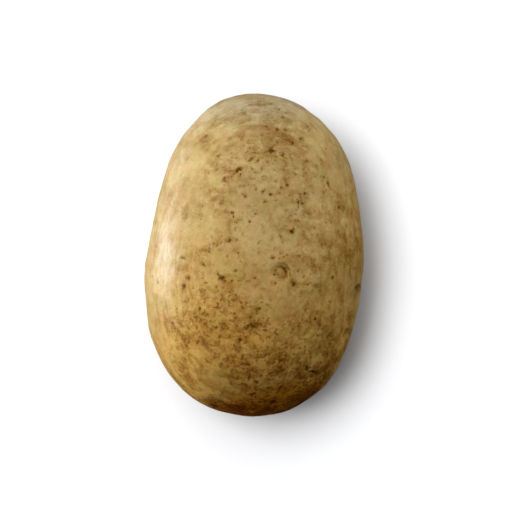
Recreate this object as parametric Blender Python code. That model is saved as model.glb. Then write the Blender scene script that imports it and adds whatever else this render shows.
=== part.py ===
"""A potato lying on its side, as the one solid that it grew as, in metres.

+Y runs along the tuber, from the rose end (where most eyes are) to the stem end (where the
stolon broke off), and +Z is up. The origin is on the resting surface, under the middle.

Places on the skin are given as two angles in degrees on the sphere that the body is shaped
from: the latitude, from -90 at the rose end to 90 at the stem end, and the turn round the
long axis, from 0 on the crown, through 90 on the +X flank, to 180 underneath.
"""

import math
from collections import namedtuple

import bmesh
import bpy
from mathutils import Matrix, Vector, noise

MM = 0.001
NAME = "potato"

# The plain body. Its heart is so low that the underside reaches a little below z = 0,
# where it is cut off flat.
HALF_LENGTH = 50.2 * MM
HALF_WIDTH = 34.0 * MM
HALF_HEIGHT = 29.6 * MM
HEART_HEIGHT = 28.4 * MM

# How full the outline is beside a plain ellipse: in the middle, at both ends, at the rose end
MIDDLE_FULLNESS = 0.98
END_FULLNESS = 0.13
ROSE_FULLNESS = 0.075

# How far the stem end leans to +X, and how much lower the crown is there
STEM_END_LEAN = 1.2 * MM
CROWN_SLOPE = 0.05

# Slow waves of the surface, as (length of a wave, height), and where in the noise they are read
WAVES = ((24.0 * MM, 0.9 * MM), (10.0 * MM, 0.36 * MM))
WAVE_ORIGIN = Vector((3.7, 1.3, 8.2))

# Broad swellings, and hollows where the height is below zero. The reach is in degrees.
Swelling = namedtuple("Swelling", "latitude turn reach height")
SWELLINGS = (
    Swelling(71, -85, 15, 1.2 * MM),
    Swelling(18, -90, 14, -1.3 * MM),
    Swelling(-2, -92, 10, 0.6 * MM),
    Swelling(-62, -84, 15, -0.9 * MM),
    Swelling(-78, -70, 12, -0.4 * MM),
    Swelling(35, 88, 18, 1.3 * MM),
    Swelling(-3, 92, 9, 0.4 * MM),
    Swelling(-39, 88, 8, -0.5 * MM),
    Swelling(34, 8, 24, 0.7 * MM),
    Swelling(-38, -25, 20, 0.6 * MM),
    Swelling(44, 150, 20, 0.9 * MM),
    Swelling(-16, 138, 22, -0.8 * MM),
    Swelling(8, -142, 22, -0.7 * MM),
    Swelling(-46, -130, 18, 0.9 * MM),
)

# The eyes. Each has its brow on the side towards the stem end, turned round by lean degrees.
# Its roundness is how high it is as a share of its width.
Eye = namedtuple("Eye", "latitude turn width depth lean roundness")
EYES = (
    Eye(-5.6, 13.8, 6.4 * MM, 0.8 * MM, -58, 0.85),
    Eye(-13, 75, 9.0 * MM, 1.1 * MM, -8, 0.6),
    Eye(-28, 68, 5.0 * MM, 0.6 * MM, 14, 0.7),
    Eye(-45, 44, 6.0 * MM, 0.7 * MM, -12, 0.6),
    Eye(-25, 0, 5.0 * MM, 0.45 * MM, 4, 0.6),
    Eye(36, 128, 8.5 * MM, 1.0 * MM, 10, 0.6),
    Eye(-52, 112, 8.5 * MM, 1.1 * MM, -6, 0.6),
    Eye(7, 152, 7.5 * MM, 0.8 * MM, 4, 0.65),
    Eye(22, -118, 9.0 * MM, 1.1 * MM, -10, 0.6),
    Eye(-24, -122, 9.0 * MM, 1.1 * MM, 8, 0.6),
    Eye(-58, -152, 8.5 * MM, 1.1 * MM, 4, 0.6),
    Eye(-67, -38, 7.0 * MM, 0.8 * MM, 0, 0.65),
    Eye(-68, 30, 7.0 * MM, 0.9 * MM, 0, 0.65),
    Eye(-84, 200, 7.0 * MM, 1.1 * MM, 0, 0.75),
)

# The profile of an eye: a hollow with a bud in it, and on its stem side an arched brow with a
# crease under it. Lengths are in half widths of the eye, those towards the brow times its
# roundness. Heights and depths are shares of the eye's depth.
HOLLOW_LENGTH = 0.95
HOLLOW_OPEN_SIDE = 0.6
ARCH_FADE = 2.6
BROW_PLACE = 1.0
BROW_HEIGHT = 0.35
BROW_THICKNESS = 0.32
CREASE_PLACE = 0.58
CREASE_DEPTH = 0.45
CREASE_THICKNESS = 0.22
BUD_PLACE = 0.05
BUD_HEIGHT = 0.35
BUD_LENGTH = 0.26
EYE_INFLUENCE = 4.0

# The stolon's scar: a round dish with a low rim and a corky plug, in radii of the dish
SCAR_LATITUDE = 81
SCAR_TURN = 176
SCAR_RADIUS = 2.6 * MM
SCAR_DEPTH = 0.9 * MM
RIM_PLACE = 1.35
RIM_HEIGHT = 0.4
RIM_THICKNESS = 0.35
PLUG_HEIGHT = 0.5
PLUG_LENGTH = 0.45

# The icosphere's own detail, and how many widths round an eye it is split once, and once more
BODY_DETAIL = 5
SPLIT_REACHES = (1.05, 0.7)
SCAR_SPLIT_WIDTH = 2.5 * SCAR_RADIUS

SKIN_COLOUR = (0.50, 0.33, 0.135, 1.0)
SKIN_ROUGHNESS = 0.55


def towards(latitude, turn):
    """The direction of a place on the sphere that the body is shaped from."""
    up_the_axis = math.radians(latitude)
    round_it = math.radians(turn)
    girth = math.cos(up_the_axis)
    return Vector((girth * math.sin(round_it), math.sin(up_the_axis), girth * math.cos(round_it)))


def body_point(direction):
    """A point of the plain body, before any relief."""
    along = direction.y
    fullness = MIDDLE_FULLNESS + END_FULLNESS * along * along - ROSE_FULLNESS * along
    lean = STEM_END_LEAN * math.sin(along * math.pi / 2)
    height = HALF_HEIGHT * (1 - CROWN_SLOPE * along) if direction.z > 0 else HALF_HEIGHT
    return Vector((
        HALF_WIDTH * fullness * direction.x + lean,
        HALF_LENGTH * along,
        HEART_HEIGHT + height * fullness * direction.z,
    ))


def outward(direction):
    """The plain body's normal, taken as an ellipsoid's."""
    return Vector((
        direction.x / HALF_WIDTH,
        direction.y / HALF_LENGTH,
        direction.z / HALF_HEIGHT,
    )).normalized()


def hump(distance, breadth):
    """A smooth hump, 1 at its middle."""
    return math.exp(-((distance / breadth) ** 2))


def slow_relief(direction):
    """The height of the swellings, hollows and slow waves at a place."""
    height = 0.0
    for swelling in SWELLINGS:
        apart = direction.angle(towards(swelling.latitude, swelling.turn))
        height += swelling.height * hump(apart, math.radians(swelling.reach))
    for wave_length, wave_height in WAVES:
        height += wave_height * noise.noise(body_point(direction) / wave_length + WAVE_ORIGIN)
    return height


def eye_axes(direction, lean):
    """The two directions along the skin at an eye: up to its brow, and to its side."""
    normal = outward(direction)
    stemward = Vector((0, 1, 0))
    stemward = (stemward - normal * stemward.dot(normal)).normalized()
    up = Matrix.Rotation(math.radians(lean), 3, normal) @ stemward
    return up, up.cross(normal)


def eye_relief(point, eye):
    """The height that an eye adds at a point of the plain body."""
    direction = towards(eye.latitude, eye.turn)
    offset = point - body_point(direction)
    half = eye.width / 2
    if offset.length > EYE_INFLUENCE * half:
        return 0.0
    up_axis, side_axis = eye_axes(direction, eye.lean)
    up = offset.dot(up_axis) / (half * eye.roundness)
    side = offset.dot(side_axis) / half
    steepness = 1.0 if up > 0 else HOLLOW_OPEN_SIDE
    hollow = -hump(math.hypot(steepness * up, side), HOLLOW_LENGTH)
    out = math.hypot(up, side)
    arch = math.cos(math.atan2(side, up) / 2) ** ARCH_FADE
    brow = BROW_HEIGHT * hump(out - BROW_PLACE, BROW_THICKNESS) * arch
    crease = -CREASE_DEPTH * hump(out - CREASE_PLACE, CREASE_THICKNESS) * arch
    bud = BUD_HEIGHT * hump(math.hypot(up - BUD_PLACE, side), BUD_LENGTH)
    return eye.depth * (hollow + brow + crease + bud)


def scar_relief(point):
    """The height that the stolon's scar adds at a point of the plain body."""
    middle = body_point(towards(SCAR_LATITUDE, SCAR_TURN))
    out = (point - middle).length / SCAR_RADIUS
    dish = -hump(out, 1.0)
    rim = RIM_HEIGHT * hump(out - RIM_PLACE, RIM_THICKNESS)
    plug = PLUG_HEIGHT * hump(out, PLUG_LENGTH)
    return SCAR_DEPTH * (dish + rim + plug)


def skin_point(direction):
    """The finished place of a point of the skin."""
    body = body_point(direction)
    height = slow_relief(direction) + scar_relief(body)
    height += sum(eye_relief(body, eye) for eye in EYES)
    return body + outward(direction) * height


def split_near_eyes(sphere, reach):
    """Splits the unit sphere's triangles that lie within reach widths of an eye or the scar."""
    spots = [(body_point(towards(eye.latitude, eye.turn)), reach * eye.width) for eye in EYES]
    spots.append((body_point(towards(SCAR_LATITUDE, SCAR_TURN)), reach * SCAR_SPLIT_WIDTH))
    near = {
        vertex
        for vertex in sphere.verts
        if any((body_point(vertex.co) - middle).length < limit for middle, limit in spots)
    }
    edges = [edge for edge in sphere.edges if near.issuperset(edge.verts)]
    bmesh.ops.subdivide_edges(sphere, edges=edges, cuts=1, use_grid_fill=True)
    bmesh.ops.triangulate(sphere, faces=sphere.faces)
    for vertex in sphere.verts:
        vertex.co.normalize()


def cut_flat(solid):
    """Cuts the underside off at z = 0 and closes it with the flat spot that it rests on."""
    everything = solid.verts[:] + solid.edges[:] + solid.faces[:]
    cut = bmesh.ops.bisect_plane(
        solid, geom=everything, plane_co=(0, 0, 0), plane_no=(0, 0, -1), clear_outer=True
    )
    rim = [item for item in cut["geom_cut"] if isinstance(item, bmesh.types.BMEdge)]
    for edge in rim:
        for vertex in edge.verts:
            vertex.co.z = 0.0
    flat = bmesh.ops.contextual_create(solid, geom=rim)["faces"]
    bmesh.ops.recalc_face_normals(solid, faces=solid.faces)
    bmesh.ops.poke(solid, faces=flat)
    bmesh.ops.triangulate(solid, faces=solid.faces)


def centre_on_axes(solid):
    """Moves the solid sideways until its bounds are centred on the origin."""
    for axis in (0, 1):
        reached = [vertex.co[axis] for vertex in solid.verts]
        middle = (min(reached) + max(reached)) / 2
        for vertex in solid.verts:
            vertex.co[axis] -= middle


def make_mesh():
    """The potato's closed surface, from an icosphere whose points are moved by formula."""
    solid = bmesh.new()
    bmesh.ops.create_icosphere(solid, subdivisions=BODY_DETAIL, radius=1.0)
    for reach in SPLIT_REACHES:
        split_near_eyes(solid, reach)
    for vertex in solid.verts:
        vertex.co = skin_point(vertex.co.copy())
    cut_flat(solid)
    centre_on_axes(solid)
    mesh = bpy.data.meshes.new(NAME)
    solid.to_mesh(mesh)
    solid.free()
    mesh.shade_smooth()
    return mesh


def make_material():
    """Matte potato skin in its mean colour."""
    material = bpy.data.materials.new("potato_skin")
    material.use_nodes = True
    shader = material.node_tree.nodes["Principled BSDF"]
    shader.inputs["Base Color"].default_value = SKIN_COLOUR
    shader.inputs["Roughness"].default_value = SKIN_ROUGHNESS
    shader.inputs["Metallic"].default_value = 0.0
    return material


def main():
    for old in list(bpy.data.objects):
        bpy.data.objects.remove(old)
    collection = bpy.data.collections.new(NAME)
    bpy.context.scene.collection.children.link(collection)
    potato = bpy.data.objects.new(NAME, make_mesh())
    potato.data.materials.append(make_material())
    collection.objects.link(potato)


main()
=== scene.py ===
"""The potato's finished look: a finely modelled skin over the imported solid, its material, the
ground, the light and the camera. Lengths are in metres unless a name says otherwise."""

import math
from types import SimpleNamespace

import bpy
import numpy as np
from mathutils import Matrix, Vector, noise


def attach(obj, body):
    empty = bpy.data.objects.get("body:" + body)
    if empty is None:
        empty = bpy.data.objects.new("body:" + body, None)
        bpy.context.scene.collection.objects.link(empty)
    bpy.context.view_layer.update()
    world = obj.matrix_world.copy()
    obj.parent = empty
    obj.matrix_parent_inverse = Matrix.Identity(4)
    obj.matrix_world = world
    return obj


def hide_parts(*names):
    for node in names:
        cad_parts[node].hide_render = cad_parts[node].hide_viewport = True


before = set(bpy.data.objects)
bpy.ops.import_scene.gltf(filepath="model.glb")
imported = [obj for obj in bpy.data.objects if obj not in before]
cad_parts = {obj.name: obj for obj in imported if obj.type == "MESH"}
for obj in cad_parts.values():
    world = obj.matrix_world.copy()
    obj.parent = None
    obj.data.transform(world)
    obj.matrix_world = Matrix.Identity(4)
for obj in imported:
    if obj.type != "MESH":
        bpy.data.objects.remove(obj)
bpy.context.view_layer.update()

MM = 0.001

# The plain body, with the same values as the solid's
HALF_LENGTH = 50.2 * MM
HALF_WIDTH = 34.0 * MM
HALF_HEIGHT = 29.6 * MM
HEART_HEIGHT = 28.4 * MM

# How full the outline is beside a plain ellipse: in the middle, at both ends, at the rose end
MIDDLE_FULLNESS = 0.98
END_FULLNESS = 0.13
ROSE_FULLNESS = 0.075

# How far the stem end leans to +X, and how much lower the crown is there
STEM_END_LEAN = 1.2 * MM
CROWN_SLOPE = 0.05

# Slow waves of the surface, as (length of a wave, height), and where in the noise they are read
WAVES = ((24.0 * MM, 0.9 * MM), (10.0 * MM, 0.36 * MM))
WAVE_ORIGIN = Vector((3.7, 1.3, 8.2))

# Small waves that only the skin has, as (length, height, where in the noise they are read)
FINE_WAVES = (
    (4.5 * MM, 0.10 * MM, (1.7, 9.2, 4.4)),
    (2.0 * MM, 0.07 * MM, (6.1, 2.5, 0.3)),
)

# Broad swellings, and hollows where the height is below zero, as (latitude, turn, reach in
# degrees, height)
SWELLINGS = (
    (71, -85, 15, 1.2 * MM),
    (18, -90, 14, -1.3 * MM),
    (-2, -92, 10, 0.6 * MM),
    (-62, -84, 15, -0.9 * MM),
    (-78, -70, 12, -0.4 * MM),
    (35, 88, 18, 1.3 * MM),
    (-3, 92, 9, 0.4 * MM),
    (-39, 88, 8, -0.5 * MM),
    (34, 8, 24, 0.7 * MM),
    (-38, -25, 20, 0.6 * MM),
    (44, 150, 20, 0.9 * MM),
    (-16, 138, 22, -0.8 * MM),
    (8, -142, 22, -0.7 * MM),
    (-46, -130, 18, 0.9 * MM),
)

# The eyes, as (latitude, turn, width, depth, lean in degrees, roundness). Each has its brow on the
# side towards the stem end, turned round by its lean. Its roundness is how high it is as a share
# of its width.
EYES = (
    (-5.6, 13.8, 6.4 * MM, 0.8 * MM, -58, 0.85),
    (-13, 75, 9.0 * MM, 1.1 * MM, -8, 0.6),
    (-28, 68, 5.0 * MM, 0.6 * MM, 14, 0.7),
    (-45, 44, 6.0 * MM, 0.7 * MM, -12, 0.6),
    (-25, 0, 5.0 * MM, 0.45 * MM, 4, 0.6),
    (36, 128, 8.5 * MM, 1.0 * MM, 10, 0.6),
    (-52, 112, 8.5 * MM, 1.1 * MM, -6, 0.6),
    (7, 152, 7.5 * MM, 0.8 * MM, 4, 0.65),
    (22, -118, 9.0 * MM, 1.1 * MM, -10, 0.6),
    (-24, -122, 9.0 * MM, 1.1 * MM, 8, 0.6),
    (-58, -152, 8.5 * MM, 1.1 * MM, 4, 0.6),
    (-67, -38, 7.0 * MM, 0.8 * MM, 0, 0.65),
    (-68, 30, 7.0 * MM, 0.9 * MM, 0, 0.65),
    (-84, 200, 7.0 * MM, 1.1 * MM, 0, 0.75),
)

# The profile of an eye: a hollow with a bud in it, and on its stem side an arched brow with a
# crease under it. Lengths are in half widths of the eye, those towards the brow times its
# roundness. Heights and depths are shares of the eye's depth. The crease is a little deeper and
# narrower than the solid's.
HOLLOW_LENGTH = 0.95
HOLLOW_OPEN_SIDE = 0.6
ARCH_FADE = 2.6
BROW_PLACE = 1.0
BROW_HEIGHT = 0.35
BROW_THICKNESS = 0.32
CREASE_PLACE = 0.58
CREASE_DEPTH = 0.55
CREASE_THICKNESS = 0.2
BUD_PLACE = 0.05
BUD_HEIGHT = 0.35
BUD_LENGTH = 0.26
EYE_INFLUENCE = 4.0

# The stolon's scar: its latitude and turn, and a round dish with a low rim and a corky plug, in
# radii of the dish. Its stain reaches a little past the dish.
SCAR_PLACE = (81, 176)
SCAR_RADIUS = 2.6 * MM
SCAR_DEPTH = 0.9 * MM
RIM_PLACE = 1.35
RIM_HEIGHT = 0.4
RIM_THICKNESS = 0.35
PLUG_HEIGHT = 0.5
PLUG_LENGTH = 0.45
SCAR_STAIN_LENGTH = 1.1

# The skin's grid comes from a cube with this many quads along each edge
CELLS = 128

# How softly the skin meets the surface that it rests on
FLOOR_SOFTNESS = 0.25 * MM

# The photograph's frame, and where the potato's middle is in it
FRAME_PX = 512
METRES_PER_PX = 100.0 * MM / 323
MIDDLE_PX = (254.0, 254.5)

# The camera, and how high the potato's girth is, where the photograph's scale holds
LENS_MM = 100.0
SENSOR_MM = 36.0
GIRTH_HEIGHT = 29.0 * MM

# How far up a normal points, from -1 to 1. The photograph's specks lie where it is above the
# first value. Its stains and its shine fade out below the second.
FACING = 0.1
FACING_FADE = 0.2

# How the skin turns golden towards the rose end, which is painted shade: where it starts, over
# what length, how much later on the right, how much more golden the flanks are at their rims, as
# painted shade on the right and a pale painted sheen on the left, and the least of it all
GOLD_START = 14 * MM
GOLD_FADE = 42 * MM
GOLD_TILT = 0.25
RIGHT_RIM_SHADE = 0.6
LEFT_RIM_SHEEN = -0.9
LEAST_GOLD = -0.5

# Where the dark rose end and the pale stem end start, and over what length. The dark is painted
# shade, and the pale a painted sheen.
ROSE_END_START = -37 * MM
STEM_END_START = 34 * MM
END_FADE = 12 * MM

# Places that are more golden than that, or less, which strengthens or weakens the painted shade,
# as (x, y, reach, gold), in millimetres
GOLDEN_PLACES = (
    (3, -14, 12, -0.18),
    (20, 7, 13, 0.1),
    (20, -40, 9, 0.25),
    (9, -40, 9, 0.35),
    (33, -12, 7, -0.5),
    (-33, -14, 8, -0.4),
    (28, 33, 8, -0.5),
    (-22, 31, 6, -0.3),
    (1, 17, 8, -0.3),
    (-14, -46, 8, -0.4),
)

# The shining patch, where a highlight is painted, as (x, y, half width, half height), in pixels
# of the photograph
SHEEN_PLACE = (166, 256, 14, 42)

# Marks on the sides are drawn out round the potato, from about the first distance down from the
# crown, and fully from the second. Their height is a share of their length.
SIDES_MM = (12.0, 28.0)
STROKE_SHAPE = 0.28

# The sizes of the skin's patterns, in millimetres
PATCHES_MM = 11.0
CLUSTERS_MM = 5.5
HUES_MM = 4.2
MOTTLE_MM = 2.6
BLOTCHES_MM = 2.2
MARKS_MM = 1.9
STROKES_MM = 1.6
STREAKS_MM = 1.0
FLECKS_MM = 0.9
GRAIN_MM = 0.55

# The colours of the clean skin, and of the highlight painted on the shining patch
STRAW = (0.66, 0.46, 0.185, 1.0)
TAN = (0.56, 0.36, 0.125, 1.0)
CREAM = (0.74, 0.55, 0.26, 1.0)
PAINTED_HIGHLIGHT = (0.84, 0.74, 0.54, 1.0)

# What each layer over the clean skin lets through, as a share of red, green and blue
OLIVE = (0.95, 1.0, 0.9, 1.0)
RUSSET = (1.02, 0.96, 0.94, 1.0)
# Painted shade: golden towards the rose end, and dark on the rose end itself. Painted sheen: pale
# at the stem end.
GOLDEN_SHADE = (1.04, 0.885, 0.55, 1.0)
ROSE_END_SHADE = (0.98, 0.66, 0.06, 1.0)
STEM_END_SHEEN = (0.94, 1.10, 1.65, 1.0)
STAIN = (0.77, 0.72, 0.66, 1.0)
# Stains take this colour in the painted shade towards the rose end
STAIN_IN_SHADE = (0.78, 0.67, 0.46, 1.0)
BLOTCH = (0.46, 0.34, 0.15, 1.0)
GRAIN = (0.90, 0.87, 0.80, 1.0)
MARK = (0.78, 0.68, 0.50, 1.0)
FLECK = (0.56, 0.45, 0.27, 1.0)
SPECK = (0.34, 0.22, 0.06, 1.0)
# Darker in an eye's hollow and along its crease and brow: partly the eye's own colour and partly
# painted shade
EYE_TINGE = (0.84, 0.80, 0.68, 1.0)
EYE_LINE = (0.42, 0.29, 0.06, 1.0)
SCAR_TINT = (0.30, 0.26, 0.24, 1.0)

# The dark lines in an eye, as (radius, half thickness), and how ragged they are, in half widths
CREASE_LINE = (0.6, 0.26)
FOLD_LINE = (0.98, 0.16)
LINE_RAGGEDNESS = 0.5

# How rough the clean skin is, and what flecks, stains, specks and the shining patch add
ROUGHNESS = 0.42
FLECKED_ROUGHNESS = 0.12
STAINED_ROUGHNESS = 0.16
SPECK_ROUGHNESS = 0.25
SHEEN_ROUGHNESS = -0.14
SPECULAR_LEVEL = 0.24

# The finest relief of the skin, which is in its shading alone
BUMP_STRENGTH = 0.55
BUMP_DEPTH = 0.16 * MM

# The dim warm glow from all round, and what the camera sees past the ground instead
WORLD_LIGHT = 0.025
WORLD_GLOW = (1.0, 0.72, 0.3, 1.0)
STUDIO = (1.0, 1.0, 1.0, 1.0)

# How far off the potato's lamps are, and their colours
SOFTBOX_DISTANCE = 0.7
SOFT_LIGHT = (1.0, 1.01, 1.03)
COOL_LIGHT = (1.0, 1.08, 1.2)

# The ground reaches past the picture from every side
GROUND_SIZE = 40.0
GROUND_COLOUR = (0.9, 0.91, 0.935, 1.0)
GROUND_ROUGHNESS = 0.9

# What the photograph doesn't show is strewn at random, always the same way, with sizes, reaches
# and strengths between two values
SEED = 11
HIDDEN_SPECKS = 150
HIDDEN_SPECK_PX = (3, 6)
HIDDEN_SPECK_DARKNESS = (0.4, 0.9)
HIDDEN_STAINS = 34
HIDDEN_STAIN_MM = (5, 13)
HIDDEN_STAIN_STRENGTH = (0.3, 0.75)

# How ragged the specks are, and how far they reach, in radii
SPECK_WOBBLE = 0.8 * MM
SPECK_WOBBLE_LENGTH = 1.6 * MM
SPECK_REACH = 1.2

# Dark specks and pores, as (x, y, size, darkness), in pixels of the photograph and from 0 to 1
SPECKS = (
    (279, 109, 3, 0.7), (283, 117, 3, 0.5), (290, 119, 3, 0.4), (293, 114, 3, 0.4),
    (266, 126, 2, 0.6), (285, 130, 4, 0.6), (277, 130, 4, 0.5), (307, 127, 5, 0.4),
    (263, 134, 6, 0.4), (300, 138, 4, 0.6), (204, 137, 5, 0.4), (270, 149, 6, 0.8),
    (277, 143, 3, 0.6), (293, 144, 6, 0.6), (282, 156, 4, 0.8), (326, 149, 3, 0.5),
    (321, 160, 3, 0.4), (253, 153, 4, 0.5), (218, 156, 4, 0.5), (241, 138, 4, 0.3),
    (250, 161, 4, 0.75), (258, 161, 4, 0.7), (267, 163, 3, 0.5), (307, 161, 4, 0.4),
    (237, 170, 7, 0.6), (262, 169, 3, 0.5), (250, 178, 3, 0.5), (263, 176, 3, 0.5),
    (226, 180, 8, 0.5), (232, 177, 4, 0.5), (324, 177, 4, 0.5), (328, 184, 4, 0.6),
    (256, 189, 3, 0.5), (263, 191, 3, 0.55), (245, 196, 5, 0.6), (270, 195, 3, 0.65),
    (265, 201, 4, 0.5), (300, 197, 4, 0.5), (298, 203, 3, 0.65), (302, 203, 3, 0.6),
    (338, 207, 3, 0.6), (233, 213, 4, 0.7), (234, 217, 3, 0.8), (249, 223, 4, 0.6),
    (255, 214, 4, 0.4), (235, 228, 4, 0.5), (326, 222, 3, 0.6), (331, 222, 3, 0.5),
    (293, 232, 4, 0.6), (242, 234, 3, 0.4), (230, 239, 4, 0.7), (236, 242, 3, 0.5),
    (258, 243, 3, 0.6), (182, 258, 4, 0.5), (228, 257, 3, 0.6), (272, 259, 4, 0.7),
    (203, 265, 4, 0.6), (235, 270, 4, 0.6), (187, 278, 7, 0.6), (183, 285, 5, 0.5),
    (158, 282, 4, 0.6), (152, 276, 4, 0.4), (222, 278, 6, 0.7), (232, 280, 4, 0.7),
    (223, 288, 3, 0.4), (205, 282, 3, 0.6), (201, 290, 6, 0.6), (213, 300, 5, 0.4),
    (218, 308, 5, 0.6), (199, 309, 4, 0.6), (188, 308, 3, 0.4), (303, 277, 4, 0.6),
    (295, 284, 5, 0.7), (332, 277, 4, 0.8), (310, 284, 4, 0.4), (275, 282, 4, 0.5),
    (329, 302, 3, 0.6), (270, 299, 4, 0.4), (267, 305, 4, 0.5), (267, 310, 4, 0.5),
    (257, 302, 3, 0.5), (257, 308, 3, 0.6), (315, 319, 4, 0.8), (265, 327, 7, 0.35),
    (293, 330, 5, 0.5), (296, 326, 4, 0.4), (275, 331, 4, 0.4), (330, 335, 7, 0.5),
    (317, 337, 5, 0.5), (346, 329, 5, 0.6), (173, 323, 4, 0.4), (175, 328, 4, 0.4),
    (177, 333, 4, 0.35), (181, 343, 3, 0.5), (187, 346, 7, 0.35), (176, 347, 3, 0.3),
    (197, 341, 4, 0.6), (217, 327, 4, 0.5), (228, 327, 4, 0.4), (234, 334, 7, 0.35),
    (221, 338, 4, 0.4), (239, 339, 8, 0.35), (236, 348, 8, 0.4), (252, 349, 6, 0.4),
    (290, 344, 9, 0.35), (284, 350, 5, 0.4), (281, 361, 8, 0.4), (220, 358, 4, 0.5),
    (186, 361, 5, 0.5), (307, 368, 8, 0.65), (312, 374, 4, 0.4), (326, 354, 5, 0.6),
    (248, 365, 3, 0.7), (258, 358, 4, 0.4), (249, 378, 4, 0.7), (256, 382, 5, 0.6),
    (262, 376, 5, 0.5), (238, 378, 4, 0.4), (282, 382, 5, 0.4), (273, 389, 5, 0.5),
    (251, 394, 6, 0.6), (274, 401, 5, 0.9), (219, 402, 5, 0.4), (230, 405, 4, 0.4),
    (193, 379, 5, 0.3), (308, 131, 4, 0.5), (305, 162, 3, 0.5), (276, 181, 3, 0.5),
    (287, 184, 3, 0.5), (281, 187, 3, 0.4), (298, 169, 3, 0.4), (304, 170, 3, 0.4),
    (256, 173, 3, 0.5), (240, 173, 3, 0.5), (252, 170, 3, 0.4), (267, 176, 3, 0.4),
    (244, 187, 4, 0.45), (239, 187, 3, 0.4), (276, 194, 3, 0.4), (305, 193, 3, 0.4),
    (275, 201, 3, 0.4), (264, 181, 3, 0.35), (290, 155, 3, 0.4), (303, 146, 3, 0.4),
    (285, 268, 4, 0.5), (286, 273, 4, 0.45), (281, 277, 4, 0.35), (275, 271, 2, 0.7),
    (274, 274, 2, 0.7), (278, 275, 2, 0.6), (273, 280, 3, 0.4),
)

# Stains of soil, as (x, y, half width, half height, strength), in pixels of the photograph.
# Below 0, the place is cleaner than the rest.
STAINS = (
    (262, 130, 28, 24, 0.8), (284, 138, 18, 16, 0.55), (244, 130, 10, 14, 0.55),
    (222, 150, 22, 14, 0.6), (204, 136, 12, 9, 0.6), (220, 120, 14, 7, 0.2),
    (236, 108, 12, 8, -0.3), (256, 165, 22, 13, 0.45), (218, 167, 14, 12, 0.5),
    (272, 157, 9, 10, 0.5), (237, 171, 6, 6, 0.3), (226, 181, 7, 7, 0.6),
    (216, 200, 12, 7, 0.6), (193, 212, 17, 10, 0.5), (258, 197, 16, 9, -0.6),
    (342, 200, 6, 16, 0.35), (347, 250, 9, 36, 0.6), (317, 264, 13, 15, 0.5),
    (337, 247, 13, 12, 0.5), (334, 289, 10, 7, -0.3), (299, 352, 6, 14, -0.3),
    (318, 296, 24, 16, 0.15), (186, 283, 9, 9, 0.2), (222, 281, 8, 8, 0.2),
    (233, 289, 8, 6, -0.5), (262, 278, 9, 16, -0.3), (240, 303, 14, 7, 0.6),
    (239, 313, 12, 9, 0.5), (243, 338, 16, 7, 0.5), (245, 322, 18, 16, 0.7),
    (222, 350, 26, 16, -0.1), (224, 332, 11, 9, -0.35), (205, 322, 20, 14, 0.2),
    (192, 336, 18, 14, 0.3), (178, 326, 8, 14, 0.25), (256, 352, 30, 18, 0.2),
    (288, 350, 18, 16, 0.3), (320, 323, 10, 12, 0.5), (277, 357, 10, 8, 0.3),
    (280, 314, 24, 8, -0.5), (322, 352, 12, 10, 0.2), (331, 364, 10, 14, 0.3),
    (320, 389, 14, 8, 0.5), (225, 385, 20, 8, -0.3), (286, 392, 16, 8, -0.3),
    (262, 374, 26, 8, 0.25), (196, 376, 16, 8, 0.1), (222, 403, 20, 5, 0.5),
    (234, 409, 16, 6, 0.9), (306, 366, 18, 16, 0.15), (264, 103, 8, 3, 0.4),
    (272, 182, 34, 22, 0.2), (300, 176, 20, 20, 0.25), (298, 156, 13, 16, 0.7),
    (304, 127, 13, 10, 0.5), (303, 242, 18, 16, 0.2), (178, 286, 14, 20, 0.35),
    (190, 326, 12, 12, 0.25), (320, 218, 16, 14, 0.7), (259, 108, 9, 14, 0.45),
    (286, 229, 9, 6, -0.4), (292, 212, 9, 8, 0.7),
)


def towards(latitude, turn):
    """The direction of a place on the sphere that the body is shaped from."""
    up_the_axis = math.radians(latitude)
    round_it = math.radians(turn)
    girth = math.cos(up_the_axis)
    return np.array(
        (girth * math.sin(round_it), math.sin(up_the_axis), girth * math.cos(round_it))
    )


def hump(distance, breadth):
    """A smooth hump, 1 at its middle."""
    return np.exp(-((distance / breadth) ** 2))


def unit(vectors):
    """The vectors, each made 1 long."""
    return vectors / np.linalg.norm(vectors, axis=-1, keepdims=True)


def body_points(directions):
    """Points of the plain body, before any relief."""
    x, along, z = directions[..., 0], directions[..., 1], directions[..., 2]
    fullness = MIDDLE_FULLNESS + END_FULLNESS * along * along - ROSE_FULLNESS * along
    lean = STEM_END_LEAN * np.sin(along * math.pi / 2)
    height = HALF_HEIGHT * np.where(z > 0, 1 - CROWN_SLOPE * along, 1.0)
    return np.stack((
        HALF_WIDTH * fullness * x + lean,
        HALF_LENGTH * along,
        HEART_HEIGHT + height * fullness * z,
    ), axis=-1)


def outward(directions):
    """The plain body's normals."""
    return unit(directions / np.array((HALF_WIDTH, HALF_LENGTH, HALF_HEIGHT)))


def noise_at(points, length, origin):
    """Smooth noise from about -0.5 to 0.5, with waves of the given length."""
    return np.array([noise.noise(Vector(point) + origin) for point in points / length])


def slow_relief(directions, body):
    """The height of the swellings, hollows and slow waves."""
    height = np.zeros(len(directions))
    for latitude, turn, reach, swell in SWELLINGS:
        apart = np.arccos(np.clip(directions @ towards(latitude, turn), -1, 1))
        height += swell * hump(apart, math.radians(reach))
    for wave_length, wave_height in WAVES:
        height += wave_height * noise_at(body, wave_length, WAVE_ORIGIN)
    return height


def eye_frame(latitude, turn, lean):
    """An eye's middle on the plain body, and the directions up to its brow and to its side."""
    direction = towards(latitude, turn)
    normal = Vector(outward(direction))
    stemward = Vector((0, 1, 0))
    stemward = (stemward - normal * stemward.dot(normal)).normalized()
    up = Matrix.Rotation(math.radians(lean), 3, normal) @ stemward
    return body_points(direction), np.array(up), np.array(up.cross(normal))


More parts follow.
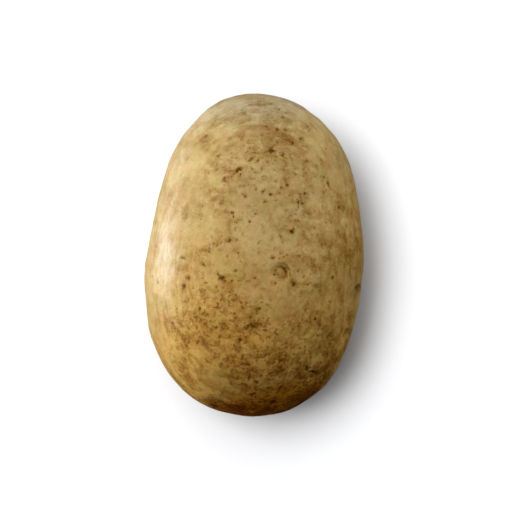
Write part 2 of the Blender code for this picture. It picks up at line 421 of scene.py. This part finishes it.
def eye_profile(up, side):
    """The height of an eye's hollow, brow, crease and bud, as a share of its depth."""
    out = np.hypot(up, side)
    hollow = -hump(np.hypot(np.where(up > 0, 1.0, HOLLOW_OPEN_SIDE) * up, side), HOLLOW_LENGTH)
    arch = np.cos(np.arctan2(side, up) / 2) ** ARCH_FADE
    brow = BROW_HEIGHT * hump(out - BROW_PLACE, BROW_THICKNESS) * arch
    crease = -CREASE_DEPTH * hump(out - CREASE_PLACE, CREASE_THICKNESS) * arch
    bud = BUD_HEIGHT * hump(np.hypot(up - BUD_PLACE, side), BUD_LENGTH)
    return hollow + brow + crease + bud


def eye_relief(body):
    """The height of the eyes, and where each point lies in the nearest one: to the side and up
    to the brow, in the eye's half widths."""
    height = np.zeros(len(body))
    place = np.full((len(body), 3), EYE_INFLUENCE)
    for latitude, turn, width, depth, lean, roundness in EYES:
        middle, up_axis, side_axis = eye_frame(latitude, turn, lean)
        half = width / 2
        offset = body - middle
        up = offset @ up_axis / (half * roundness)
        side = offset @ side_axis / half
        near = np.linalg.norm(offset, axis=1) < EYE_INFLUENCE * half
        height += np.where(near, depth * eye_profile(up, side), 0.0)
        nearest = near & (np.hypot(up, side) < np.hypot(place[:, 0], place[:, 1]))
        place[nearest] = np.stack((side, up, np.zeros(len(up))), axis=-1)[nearest]
    return height, place


def scar_relief(body):
    """The height of the stolon's scar, and how much of each point it covers, from 0 to 1."""
    out = np.linalg.norm(body - body_points(towards(*SCAR_PLACE)), axis=1) / SCAR_RADIUS
    rim = RIM_HEIGHT * hump(out - RIM_PLACE, RIM_THICKNESS)
    plug = PLUG_HEIGHT * hump(out, PLUG_LENGTH)
    return SCAR_DEPTH * (-hump(out, 1.0) + rim + plug), hump(out, SCAR_STAIN_LENGTH)


def cube_sphere(cells):
    """Unit directions and quads of a closed grid made from a cube's six sides."""
    steps = np.arange(cells + 1)
    first, second = np.meshgrid(steps, steps, indexing="ij")
    lattice = []
    quads = []
    for axis in range(3):
        for level in (0, cells):
            side = np.empty((cells + 1, cells + 1, 3), dtype=int)
            side[..., axis] = level
            side[..., (axis + 1) % 3] = first
            side[..., (axis + 2) % 3] = second
            index = np.arange(side[..., 0].size).reshape(side.shape[:2])
            index += len(lattice) * side[..., 0].size
            corners = [index[:-1, :-1], index[1:, :-1], index[1:, 1:], index[:-1, 1:]]
            if level == 0:
                corners.reverse()
            quads.append(np.stack(corners, axis=-1).reshape(-1, 4))
            lattice.append(side.reshape(-1, 3))
    points, index = np.unique(np.concatenate(lattice), axis=0, return_inverse=True)
    directions = unit(np.tan((2 * points / cells - 1) * math.pi / 4))
    return directions, index.reshape(-1)[np.concatenate(quads)]


def camera_place():
    """Where the camera stands: straight above, with the girth at the photograph's scale."""
    half = FRAME_PX / 2
    return np.array((
        (half - MIDDLE_PX[0]) * METRES_PER_PX,
        (MIDDLE_PX[1] - half) * METRES_PER_PX,
        GIRTH_HEIGHT + FRAME_PX * METRES_PER_PX * LENS_MM / SENSOR_MM,
    ))


def to_pixels(points):
    """Where points are in the photograph's frame."""
    lens = camera_place()
    nearness = (lens[2] - GIRTH_HEIGHT) / (lens[2] - points[:, 2])
    across = (points[:, 0] - lens[0]) * nearness / METRES_PER_PX
    down = -(points[:, 1] - lens[1]) * nearness / METRES_PER_PX
    return FRAME_PX / 2 + np.stack((across, down), axis=-1)


def in_view(seen):
    """1 where the camera sees the skin, 0 where it doesn't, and a short fade between."""
    return np.clip(seen / FACING_FADE, 0, 1)


def speck_field(points, seen, pixels, rng):
    """How far inside a dark speck each point is, up to the speck's darkness."""
    specks = []
    shown = np.flatnonzero(seen > FACING)
    for x, y, size, darkness in SPECKS:
        middle = shown[np.argmin(np.hypot(*(pixels[shown] - (x, y)).T))]
        specks.append((middle, size, darkness))
    hidden = np.flatnonzero(seen < FACING)
    for middle in rng.choice(hidden, HIDDEN_SPECKS, replace=False):
        size = rng.uniform(*HIDDEN_SPECK_PX)
        specks.append((middle, size, rng.uniform(*HIDDEN_SPECK_DARKNESS)))
    wobbles = [noise_at(points, SPECK_WOBBLE_LENGTH, Vector(origin)) for origin in np.eye(3)]
    warped = points + SPECK_WOBBLE * np.stack(wobbles, axis=-1)
    field = np.zeros(len(points))
    for middle, size, darkness in specks:
        radius = size * METRES_PER_PX / 2
        out = np.linalg.norm(warped - warped[middle], axis=1) / radius
        field = np.maximum(field, darkness * hump(out, SPECK_REACH))
    return field


def in_oval(pixels, x, y, half_width, half_height):
    """A smooth oval hump in the photograph's frame, 1 at its middle."""
    out = np.hypot((pixels[:, 0] - x) / half_width, (pixels[:, 1] - y) / half_height)
    return hump(out, 1.0)


def soil_field(points, seen, pixels, rng):
    """How much soil is worked into the skin at each point, up to 1. Below 0, it is cleaner."""
    shown = in_view(seen)
    clean = np.ones(len(points))
    for x, y, half_width, half_height, strength in STAINS:
        clean *= 1 - strength * in_oval(pixels, x, y, half_width, half_height) * shown
    hidden = np.flatnonzero(seen < 0.0)
    for middle in rng.choice(hidden, HIDDEN_STAINS, replace=False):
        reach = rng.uniform(*HIDDEN_STAIN_MM) * MM
        strength = rng.uniform(*HIDDEN_STAIN_STRENGTH)
        spread = hump(np.linalg.norm(points - points[middle], axis=1), reach)
        clean *= 1 - strength * spread * (1 - shown)
    return 1 - clean


def shade_and_sheen_field(points):
    """How golden the skin is: from -1 at the pale stem end to 1 near the rose end, and up to 2 on
    the dark rose end itself. The golden and the dark are painted shade, and the pale is a painted
    sheen. The left flank pales only close to its rim."""
    x, along = points[:, 0], points[:, 1]
    right = np.clip(x / HALF_WIDTH, 0, None)
    left = np.clip(-x / HALF_WIDTH, 0, None)
    shade_and_sheen = np.clip((GOLD_START - along - GOLD_TILT * x) / GOLD_FADE, 0, 1)
    # The right rim turns more golden, a painted shade, and the left rim paler, a painted sheen
    shade_and_sheen = np.clip(shade_and_sheen + RIGHT_RIM_SHADE * right ** 2 + LEFT_RIM_SHEEN * left ** 4, LEAST_GOLD, 1)
    # The rose end darkens, a painted shade
    shade_and_sheen += np.clip((ROSE_END_START - along) / END_FADE, 0, 1)
    for place_x, place_y, reach, change in GOLDEN_PLACES:
        shade_and_sheen += change * hump(np.hypot(x - place_x * MM, along - place_y * MM), reach * MM)
    shade_and_sheen = np.clip(shade_and_sheen, -1, 2)
    # The stem end pales, a painted sheen
    return shade_and_sheen - np.clip((along - STEM_END_START) / END_FADE, 0, 1) * (1 - shade_and_sheen)


def add_attribute(mesh, name, values):
    """Keeps one number, or one vector, at each of the mesh's points."""
    if values.ndim == 1:
        layer = mesh.attributes.new(name, "FLOAT", "POINT")
        layer.data.foreach_set("value", values.astype(np.float32))
    else:
        layer = mesh.attributes.new(name, "FLOAT_VECTOR", "POINT")
        layer.data.foreach_set("vector", values.astype(np.float32).ravel())


def settled(points):
    """The points with a flat spot to rest on at z = 0, and their middle over the origin."""
    points[:, 2] = (points[:, 2] + np.hypot(points[:, 2], FLOOR_SOFTNESS)) / 2
    middle = (points.min(axis=0) + points.max(axis=0)) / 2
    points[:, :2] -= middle[:2]
    return points


def make_skin():
    """The skin as one closed quad mesh, with what its material reads kept at its points."""
    directions, quads = cube_sphere(CELLS)
    body = body_points(directions)
    eyes, eye_place = eye_relief(body)
    scar, in_scar = scar_relief(body)
    height = slow_relief(directions, body) + eyes + scar
    for length, swell, origin in FINE_WAVES:
        height += swell * noise_at(body, length, Vector(origin))
    points = settled(body + outward(directions) * height[:, None])

    seen = outward(directions)[:, 2]
    pixels = to_pixels(points)
    rng = np.random.default_rng(SEED)
    mesh = bpy.data.meshes.new("potato_skin")
    mesh.from_pydata(points.tolist(), [], quads.tolist())
    mesh.shade_smooth()
    add_attribute(mesh, "eye_place", eye_place)
    add_attribute(mesh, "in_scar", in_scar)
    add_attribute(mesh, "speck", speck_field(points, seen, pixels, rng))
    add_attribute(mesh, "soil", soil_field(points, seen, pixels, rng))
    # How golden the skin is, a painted shade, or pale, a painted sheen
    add_attribute(mesh, "shade_and_sheen", shade_and_sheen_field(points))
    # The shining patch, where a highlight is painted
    add_attribute(mesh, "sheen", in_oval(pixels, *SHEEN_PLACE) * in_view(seen))
    add_attribute(mesh, "down_side", np.arccos(directions[:, 2]) * HALF_HEIGHT / MM)
    skin = bpy.data.objects.new("potato_skin", mesh)
    bpy.context.collection.objects.link(skin)
    return skin


class Nodes:
    """Short calls that build a material's nodes. Any input is a number, a colour or a socket."""

    def __init__(self, tree):
        self.tree = tree

    def put(self, value, socket):
        """Gives a socket its value, or links it to another socket."""
        if isinstance(value, bpy.types.NodeSocket):
            self.tree.links.new(value, socket)
        else:
            socket.default_value = value

    def add(self, kind, inputs, **settings):
        node = self.tree.nodes.new(kind)
        for name, value in settings.items():
            setattr(node, name, value)
        for name, value in inputs.items():
            self.put(value, node.inputs[name])
        return node

    def attribute(self, name, output="Fac"):
        return self.add("ShaderNodeAttribute", {}, attribute_name=name).outputs[output]

    def maths(self, operation, first, second):
        node = self.add("ShaderNodeMath", {0: first, 1: second}, operation=operation)
        return node.outputs[0]

    def weigh(self, value, weight, added=0.0):
        """The value times its weight, plus what is added."""
        node = self.add("ShaderNodeMath", {0: value, 1: weight, 2: added}, operation="MULTIPLY_ADD")
        return node.outputs[0]

    def rise(self, value, low, high, top=1.0):
        """0 at low and before it, top at high and past it, and smooth between."""
        limits = {"Value": value, "From Min": low, "From Max": high, "To Max": top}
        return self.add("ShaderNodeMapRange", limits, interpolation_type="SMOOTHSTEP").outputs[0]

    def ring(self, out, radius, thickness):
        """1 at the radius, and 0 a thickness further in or out."""
        off = self.maths("ABSOLUTE", self.maths("SUBTRACT", out, radius), 0.0)
        return self.rise(off, thickness, 0.0)

    def noise(self, place, size_mm, detail, roughness=0.5, distortion=0.0):
        inputs = {
            "Vector": place,
            "Scale": 1 / size_mm,
            "Detail": detail,
            "Roughness": roughness,
            "Distortion": distortion,
        }
        return self.add("ShaderNodeTexNoise", inputs).outputs["Fac"]

    def colour(self, share, under, over, blend="MIX"):
        """One colour laid over another."""
        node = self.add("ShaderNodeMix", {}, data_type="RGBA", blend_type=blend)
        for key, value in (("Factor_Float", share), ("A_Color", under), ("B_Color", over)):
            self.put(value, next(item for item in node.inputs if item.identifier == key))
        return next(item for item in node.outputs if item.identifier == "Result_Color")

    def tint(self, share, under, filter_colour):
        """A colour seen through a see-through stain."""
        return self.colour(share, under, filter_colour, "MULTIPLY")


def read_skin(nodes):
    """The patterns of the skin and what is kept at its points, as sockets by name."""
    in_object = nodes.add("ShaderNodeTexCoord", {}).outputs["Object"]
    in_mm = nodes.add("ShaderNodeVectorMath", {0: in_object, "Scale": 1 / MM}, operation="SCALE")
    place = in_mm.outputs[0]
    axes = nodes.add("ShaderNodeSeparateXYZ", {"Vector": place}).outputs
    down_side = nodes.attribute("down_side")
    round_it = nodes.add("ShaderNodeCombineXYZ", {
        "X": nodes.maths("MULTIPLY", axes["X"], STROKE_SHAPE),
        "Y": nodes.maths("MULTIPLY", axes["Y"], STROKE_SHAPE),
        "Z": down_side,
    }).outputs[0]
    return SimpleNamespace(
        patches=nodes.noise(place, PATCHES_MM, 3.0),
        clusters=nodes.noise(place, CLUSTERS_MM, 2.0),
        hues=nodes.noise(place, HUES_MM, 3.0),
        mottle=nodes.noise(place, MOTTLE_MM, 3.0, 0.55, 0.3),
        blotches=nodes.noise(place, BLOTCHES_MM, 2.0, 0.5, 0.4),
        marks=nodes.noise(place, MARKS_MM, 1.5, 0.5, 0.1),
        strokes=nodes.noise(round_it, STROKES_MM, 2.0, 0.55, 0.1),
        streaks=nodes.noise(round_it, STREAKS_MM, 3.0, 0.6),
        flecks=nodes.noise(place, FLECKS_MM, 1.5),
        grain=nodes.noise(place, GRAIN_MM, 2.0),
        near_rim=nodes.rise(down_side, *SIDES_MM),
        soil=nodes.attribute("soil"),
        shade_and_sheen=nodes.attribute("shade_and_sheen"),
        speck=nodes.attribute("speck"),
        sheen=nodes.attribute("sheen"),
        in_scar=nodes.attribute("in_scar"),
        eye_place=nodes.attribute("eye_place", "Vector"),
    )


def lay_layers(nodes, skin):
    """How thick each layer over the clean skin is, as more sockets by name. Marks crowd where the
    soil is, and towards the rose end. Near the rim they are drawn out."""
    crowd = nodes.weigh(nodes.maths("MAXIMUM", skin.shade_and_sheen, 0.0), 0.2)
    crowd = nodes.weigh(skin.soil, 0.31, crowd)
    crowd = nodes.weigh(skin.clusters, 0.9, crowd)

    stained = nodes.weigh(skin.mottle, 1.6, nodes.weigh(skin.clusters, 0.8, skin.soil))
    skin.stained = nodes.rise(stained, 1.25, 2.15)

    blotched = nodes.rise(nodes.weigh(crowd, 0.3, skin.blotches), 0.62, 0.9)
    skin.blotched = nodes.maths("MULTIPLY", blotched, nodes.rise(skin.shade_and_sheen, 0.2, 1.0, 0.6))

    drawn_out = nodes.maths("SUBTRACT", skin.strokes, skin.marks)
    marks = nodes.weigh(drawn_out, skin.near_rim, skin.marks)
    skin.marked = nodes.rise(nodes.weigh(crowd, 0.45, marks), 0.66, 1.02)

    bare = nodes.maths("MULTIPLY", skin.near_rim, nodes.rise(skin.shade_and_sheen, 1.6, 0.4, 0.6))
    flecked = nodes.rise(nodes.weigh(crowd, 0.6, skin.flecks), 0.92, 1.1)
    skin.flecked = nodes.maths("MULTIPLY", flecked, nodes.weigh(bare, -1.0, 1.0))

    skin.spotted = nodes.rise(nodes.weigh(skin.flecks, 0.9, skin.speck), 0.6, 1.15)
    # Streaks of a painted highlight on the shining patch, which is also smoother
    skin.shining = nodes.rise(nodes.weigh(skin.streaks, 2.4, skin.sheen), 1.5, 2.5, 0.42)


def clean_colour(nodes, skin):
    """Straw to tan, golden towards the rose end and brown on it, which is painted shade, and pale
    at the stem end, which is a painted sheen.
    """
    colour = nodes.colour(nodes.rise(skin.patches, 0.36, 0.66), STRAW, TAN)
    colour = nodes.colour(nodes.rise(skin.mottle, 0.52, 0.3, 0.5), colour, CREAM)
    colour = nodes.tint(nodes.rise(skin.hues, 0.5, 0.66), colour, OLIVE)
    colour = nodes.tint(nodes.rise(skin.hues, 0.5, 0.34), colour, RUSSET)
    # Painted shade towards and on the rose end, and a painted sheen at the stem end
    colour = nodes.tint(nodes.rise(skin.shade_and_sheen, 0.0, 1.0), colour, GOLDEN_SHADE)
    colour = nodes.tint(nodes.rise(skin.shade_and_sheen, 1.0, 2.0), colour, ROSE_END_SHADE)
    return nodes.tint(nodes.rise(skin.shade_and_sheen, 0.0, -1.0), colour, STEM_END_SHEEN)


def stained_colour(nodes, skin, colour):
    """With brown stains, marks and specks. Every darker layer tints what lies under it, so that
    the marks stay brown."""
    # Stains turn more golden in the painted shade towards the rose end
    stain = nodes.colour(nodes.rise(skin.shade_and_sheen, 0.0, 0.7), STAIN, STAIN_IN_SHADE)
    colour = nodes.tint(skin.stained, colour, stain)
    colour = nodes.tint(skin.blotched, colour, BLOTCH)
    colour = nodes.tint(skin.marked, colour, MARK)
    colour = nodes.tint(skin.flecked, colour, FLECK)
    colour = nodes.tint(nodes.rise(skin.grain, 0.36, 0.66), colour, GRAIN)
    colour = nodes.tint(nodes.rise(skin.speck, 0.02, 0.5, 0.7), colour, MARK)
    return nodes.tint(skin.spotted, colour, SPECK)


def eyed_colour(nodes, skin, colour):
    """With a darker hollow and a dark crease and fold in each eye, partly the eye's own colour and
    partly painted shade, the lines fading towards the rose end, and a dark scar.
    """
    up = nodes.add("ShaderNodeSeparateXYZ", {"Vector": skin.eye_place}).outputs["Y"]
    length = nodes.add("ShaderNodeVectorMath", {0: skin.eye_place}, operation="LENGTH")
    out = length.outputs["Value"]
    arch = nodes.rise(nodes.maths("DIVIDE", up, out), -0.9, 0.9)
    ragged_out = nodes.weigh(nodes.maths("SUBTRACT", skin.flecks, 0.5), LINE_RAGGEDNESS, out)
    crease = nodes.maths("MULTIPLY", nodes.ring(ragged_out, *CREASE_LINE), arch)
    narrow_arch = nodes.maths("POWER", arch, 3.0)
    fold = nodes.maths("MULTIPLY", nodes.ring(ragged_out, *FOLD_LINE), narrow_arch)
    lined = nodes.rise(skin.shade_and_sheen, 1.4, 0.4, 0.8)
    # Darker in the hollow and along the crease and brow: partly own colour, partly painted shade
    colour = nodes.tint(nodes.rise(ragged_out, 1.1, 0.4), colour, EYE_TINGE)
    colour = nodes.tint(nodes.maths("MULTIPLY", crease, lined), colour, EYE_LINE)
    colour = nodes.tint(nodes.maths("MULTIPLY", fold, lined), colour, EYE_LINE)
    return nodes.tint(nodes.rise(skin.in_scar, 0.35, 0.9), colour, SCAR_TINT)


def roughness(nodes, skin):
    """Rougher on stains, flecks and specks, and smoother on the shining patch."""
    flecked = nodes.rise(skin.flecks, 0.3, 0.7, FLECKED_ROUGHNESS)
    rough = nodes.weigh(nodes.rise(skin.stained, 0.0, 1.0), STAINED_ROUGHNESS, flecked)
    rough = nodes.maths("ADD", rough, ROUGHNESS)
    rough = nodes.weigh(skin.shining, SHEEN_ROUGHNESS, rough)
    return nodes.weigh(skin.spotted, SPECK_ROUGHNESS, rough)


def fine_relief(nodes, skin):
    """Streaks and flecks stand out a little, and specks and marks are sunk."""
    relief = nodes.weigh(skin.streaks, 0.9, nodes.weigh(skin.flecks, 0.5))
    relief = nodes.weigh(skin.spotted, -0.2, relief)
    relief = nodes.weigh(skin.marked, -0.2, relief)
    inputs = {"Height": relief, "Strength": BUMP_STRENGTH, "Distance": BUMP_DEPTH}
    return nodes.add("ShaderNodeBump", inputs).outputs["Normal"]


def skin_material():
    """Potato skin: its clean colour, what lies over it, its roughness and its finest relief."""
    material = bpy.data.materials.new("potato_skin")
    material.use_nodes = True
    nodes = Nodes(material.node_tree)
    shader = material.node_tree.nodes["Principled BSDF"]
    skin = read_skin(nodes)
    lay_layers(nodes, skin)
    colour = stained_colour(nodes, skin, clean_colour(nodes, skin))
    colour = eyed_colour(nodes, skin, colour)
    # The highlight painted on the shining patch
    colour = nodes.colour(skin.shining, colour, PAINTED_HIGHLIGHT)
    nodes.put(colour, shader.inputs["Base Color"])
    nodes.put(roughness(nodes, skin), shader.inputs["Roughness"])
    nodes.put(fine_relief(nodes, skin), shader.inputs["Normal"])
    shader.inputs["Specular IOR Level"].default_value = SPECULAR_LEVEL
    return material


def place_lamp(light, azimuth, elevation, distance, lit):
    """Aims a light at the potato from a direction, in degrees from +X towards +Y and above the
    ground. It lights only the one object, and the potato still shades it."""
    lamp = bpy.data.objects.new(light.name, light)
    level = math.cos(math.radians(elevation))
    towards_lamp = Vector((
        level * math.cos(math.radians(azimuth)),
        level * math.sin(math.radians(azimuth)),
        math.sin(math.radians(elevation)),
    ))
    lamp.location = Vector((0, 0, GIRTH_HEIGHT)) + distance * towards_lamp
    lamp.rotation_euler = towards_lamp.to_track_quat("Z", "Y").to_euler()
    bpy.context.collection.objects.link(lamp)
    lamp.light_linking.receiver_collection = bpy.data.collections.new(light.name + "_lights")
    lamp.light_linking.receiver_collection.objects.link(lit)
    return lamp


def softbox(name, azimuth, elevation, size, strength, lit, colour, glossy=True):
    """A round soft light. Strength is how bright it makes a white surface that faces it."""
    light = bpy.data.lights.new(name, "AREA")
    light.color = colour
    light.shape = "DISK"
    light.size = size
    light.energy = strength * (math.pi * SOFTBOX_DISTANCE) ** 2
    lamp = place_lamp(light, azimuth, elevation, SOFTBOX_DISTANCE, lit)
    lamp.visible_glossy = glossy


def skylight(name, azimuth, elevation, spread, strength, lit):
    """Light from a round patch of the sky, spread degrees across, the same everywhere. Strength
    is how bright it makes a white surface that faces it."""
    light = bpy.data.lights.new(name, "SUN")
    light.angle = math.radians(spread)
    light.energy = strength * math.pi
    place_lamp(light, azimuth, elevation, 1.0, lit)


def make_ground():
    """A plain white ground. It neither throws light back nor stops light from below."""
    bpy.ops.mesh.primitive_plane_add(size=GROUND_SIZE, location=(0, 0, 0))
    ground = bpy.context.object
    ground.name = "ground"
    material = bpy.data.materials.new("ground")
    material.use_nodes = True
    shader = material.node_tree.nodes["Principled BSDF"]
    shader.inputs["Base Color"].default_value = GROUND_COLOUR
    shader.inputs["Roughness"].default_value = GROUND_ROUGHNESS
    shader.inputs["Specular IOR Level"].default_value = 0.0
    ground.data.materials.append(material)
    ground.visible_diffuse = False
    ground.visible_glossy = False
    ground.visible_shadow = False
    return ground


def make_world():
    """A dim glow from all round. The camera sees a white studio in its place."""
    world = bpy.data.worlds.new("studio")
    world.use_nodes = True
    nodes = Nodes(world.node_tree)
    background = world.node_tree.nodes["Background"]
    seen = nodes.add("ShaderNodeLightPath", {}).outputs["Is Camera Ray"]
    strength = nodes.rise(seen, 0.0, 1.0, 1.0 - WORLD_LIGHT)
    nodes.put(nodes.colour(seen, WORLD_GLOW, STUDIO), background.inputs["Color"])
    nodes.put(nodes.maths("ADD", strength, WORLD_LIGHT), background.inputs["Strength"])
    bpy.context.scene.world = world


def make_camera():
    """Looks straight down, with the stem end up in the picture."""
    data = bpy.data.cameras.new("camera")
    data.lens = LENS_MM
    data.sensor_width = SENSOR_MM
    camera = bpy.data.objects.new("camera", data)
    camera.location = camera_place()
    bpy.context.collection.objects.link(camera)
    bpy.context.scene.camera = camera


skin = make_skin()
skin.data.materials.append(skin_material())
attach(skin, "root")
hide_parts("potato")

ground = make_ground()
make_world()

# The light on the ground, which throws the shadow, by azimuth, elevation, spread and strength
skylight("overhead", 148, 67, 26, 0.5, ground)
skylight("overhead_left", 178, 70, 22, 0.3, ground)
skylight("sky", 108, 67, 30, 0.31, ground)
skylight("sky_right", 0, 82, 30, 0.09, ground)

# The light on the potato, by azimuth, elevation, size and strength
softbox("left", 168, -8, 0.45, 0.76, skin, COOL_LIGHT)
softbox("left_high", 200, 22, 0.45, 0.5, skin, SOFT_LIGHT, glossy=False)
softbox("upper_left", 110, 40, 0.45, 0.62, skin, SOFT_LIGHT, glossy=False)
softbox("right", 22, 24, 0.4, 0.41, skin, COOL_LIGHT, glossy=False)

make_camera()
bpy.context.scene.view_settings.view_transform = "Standard"
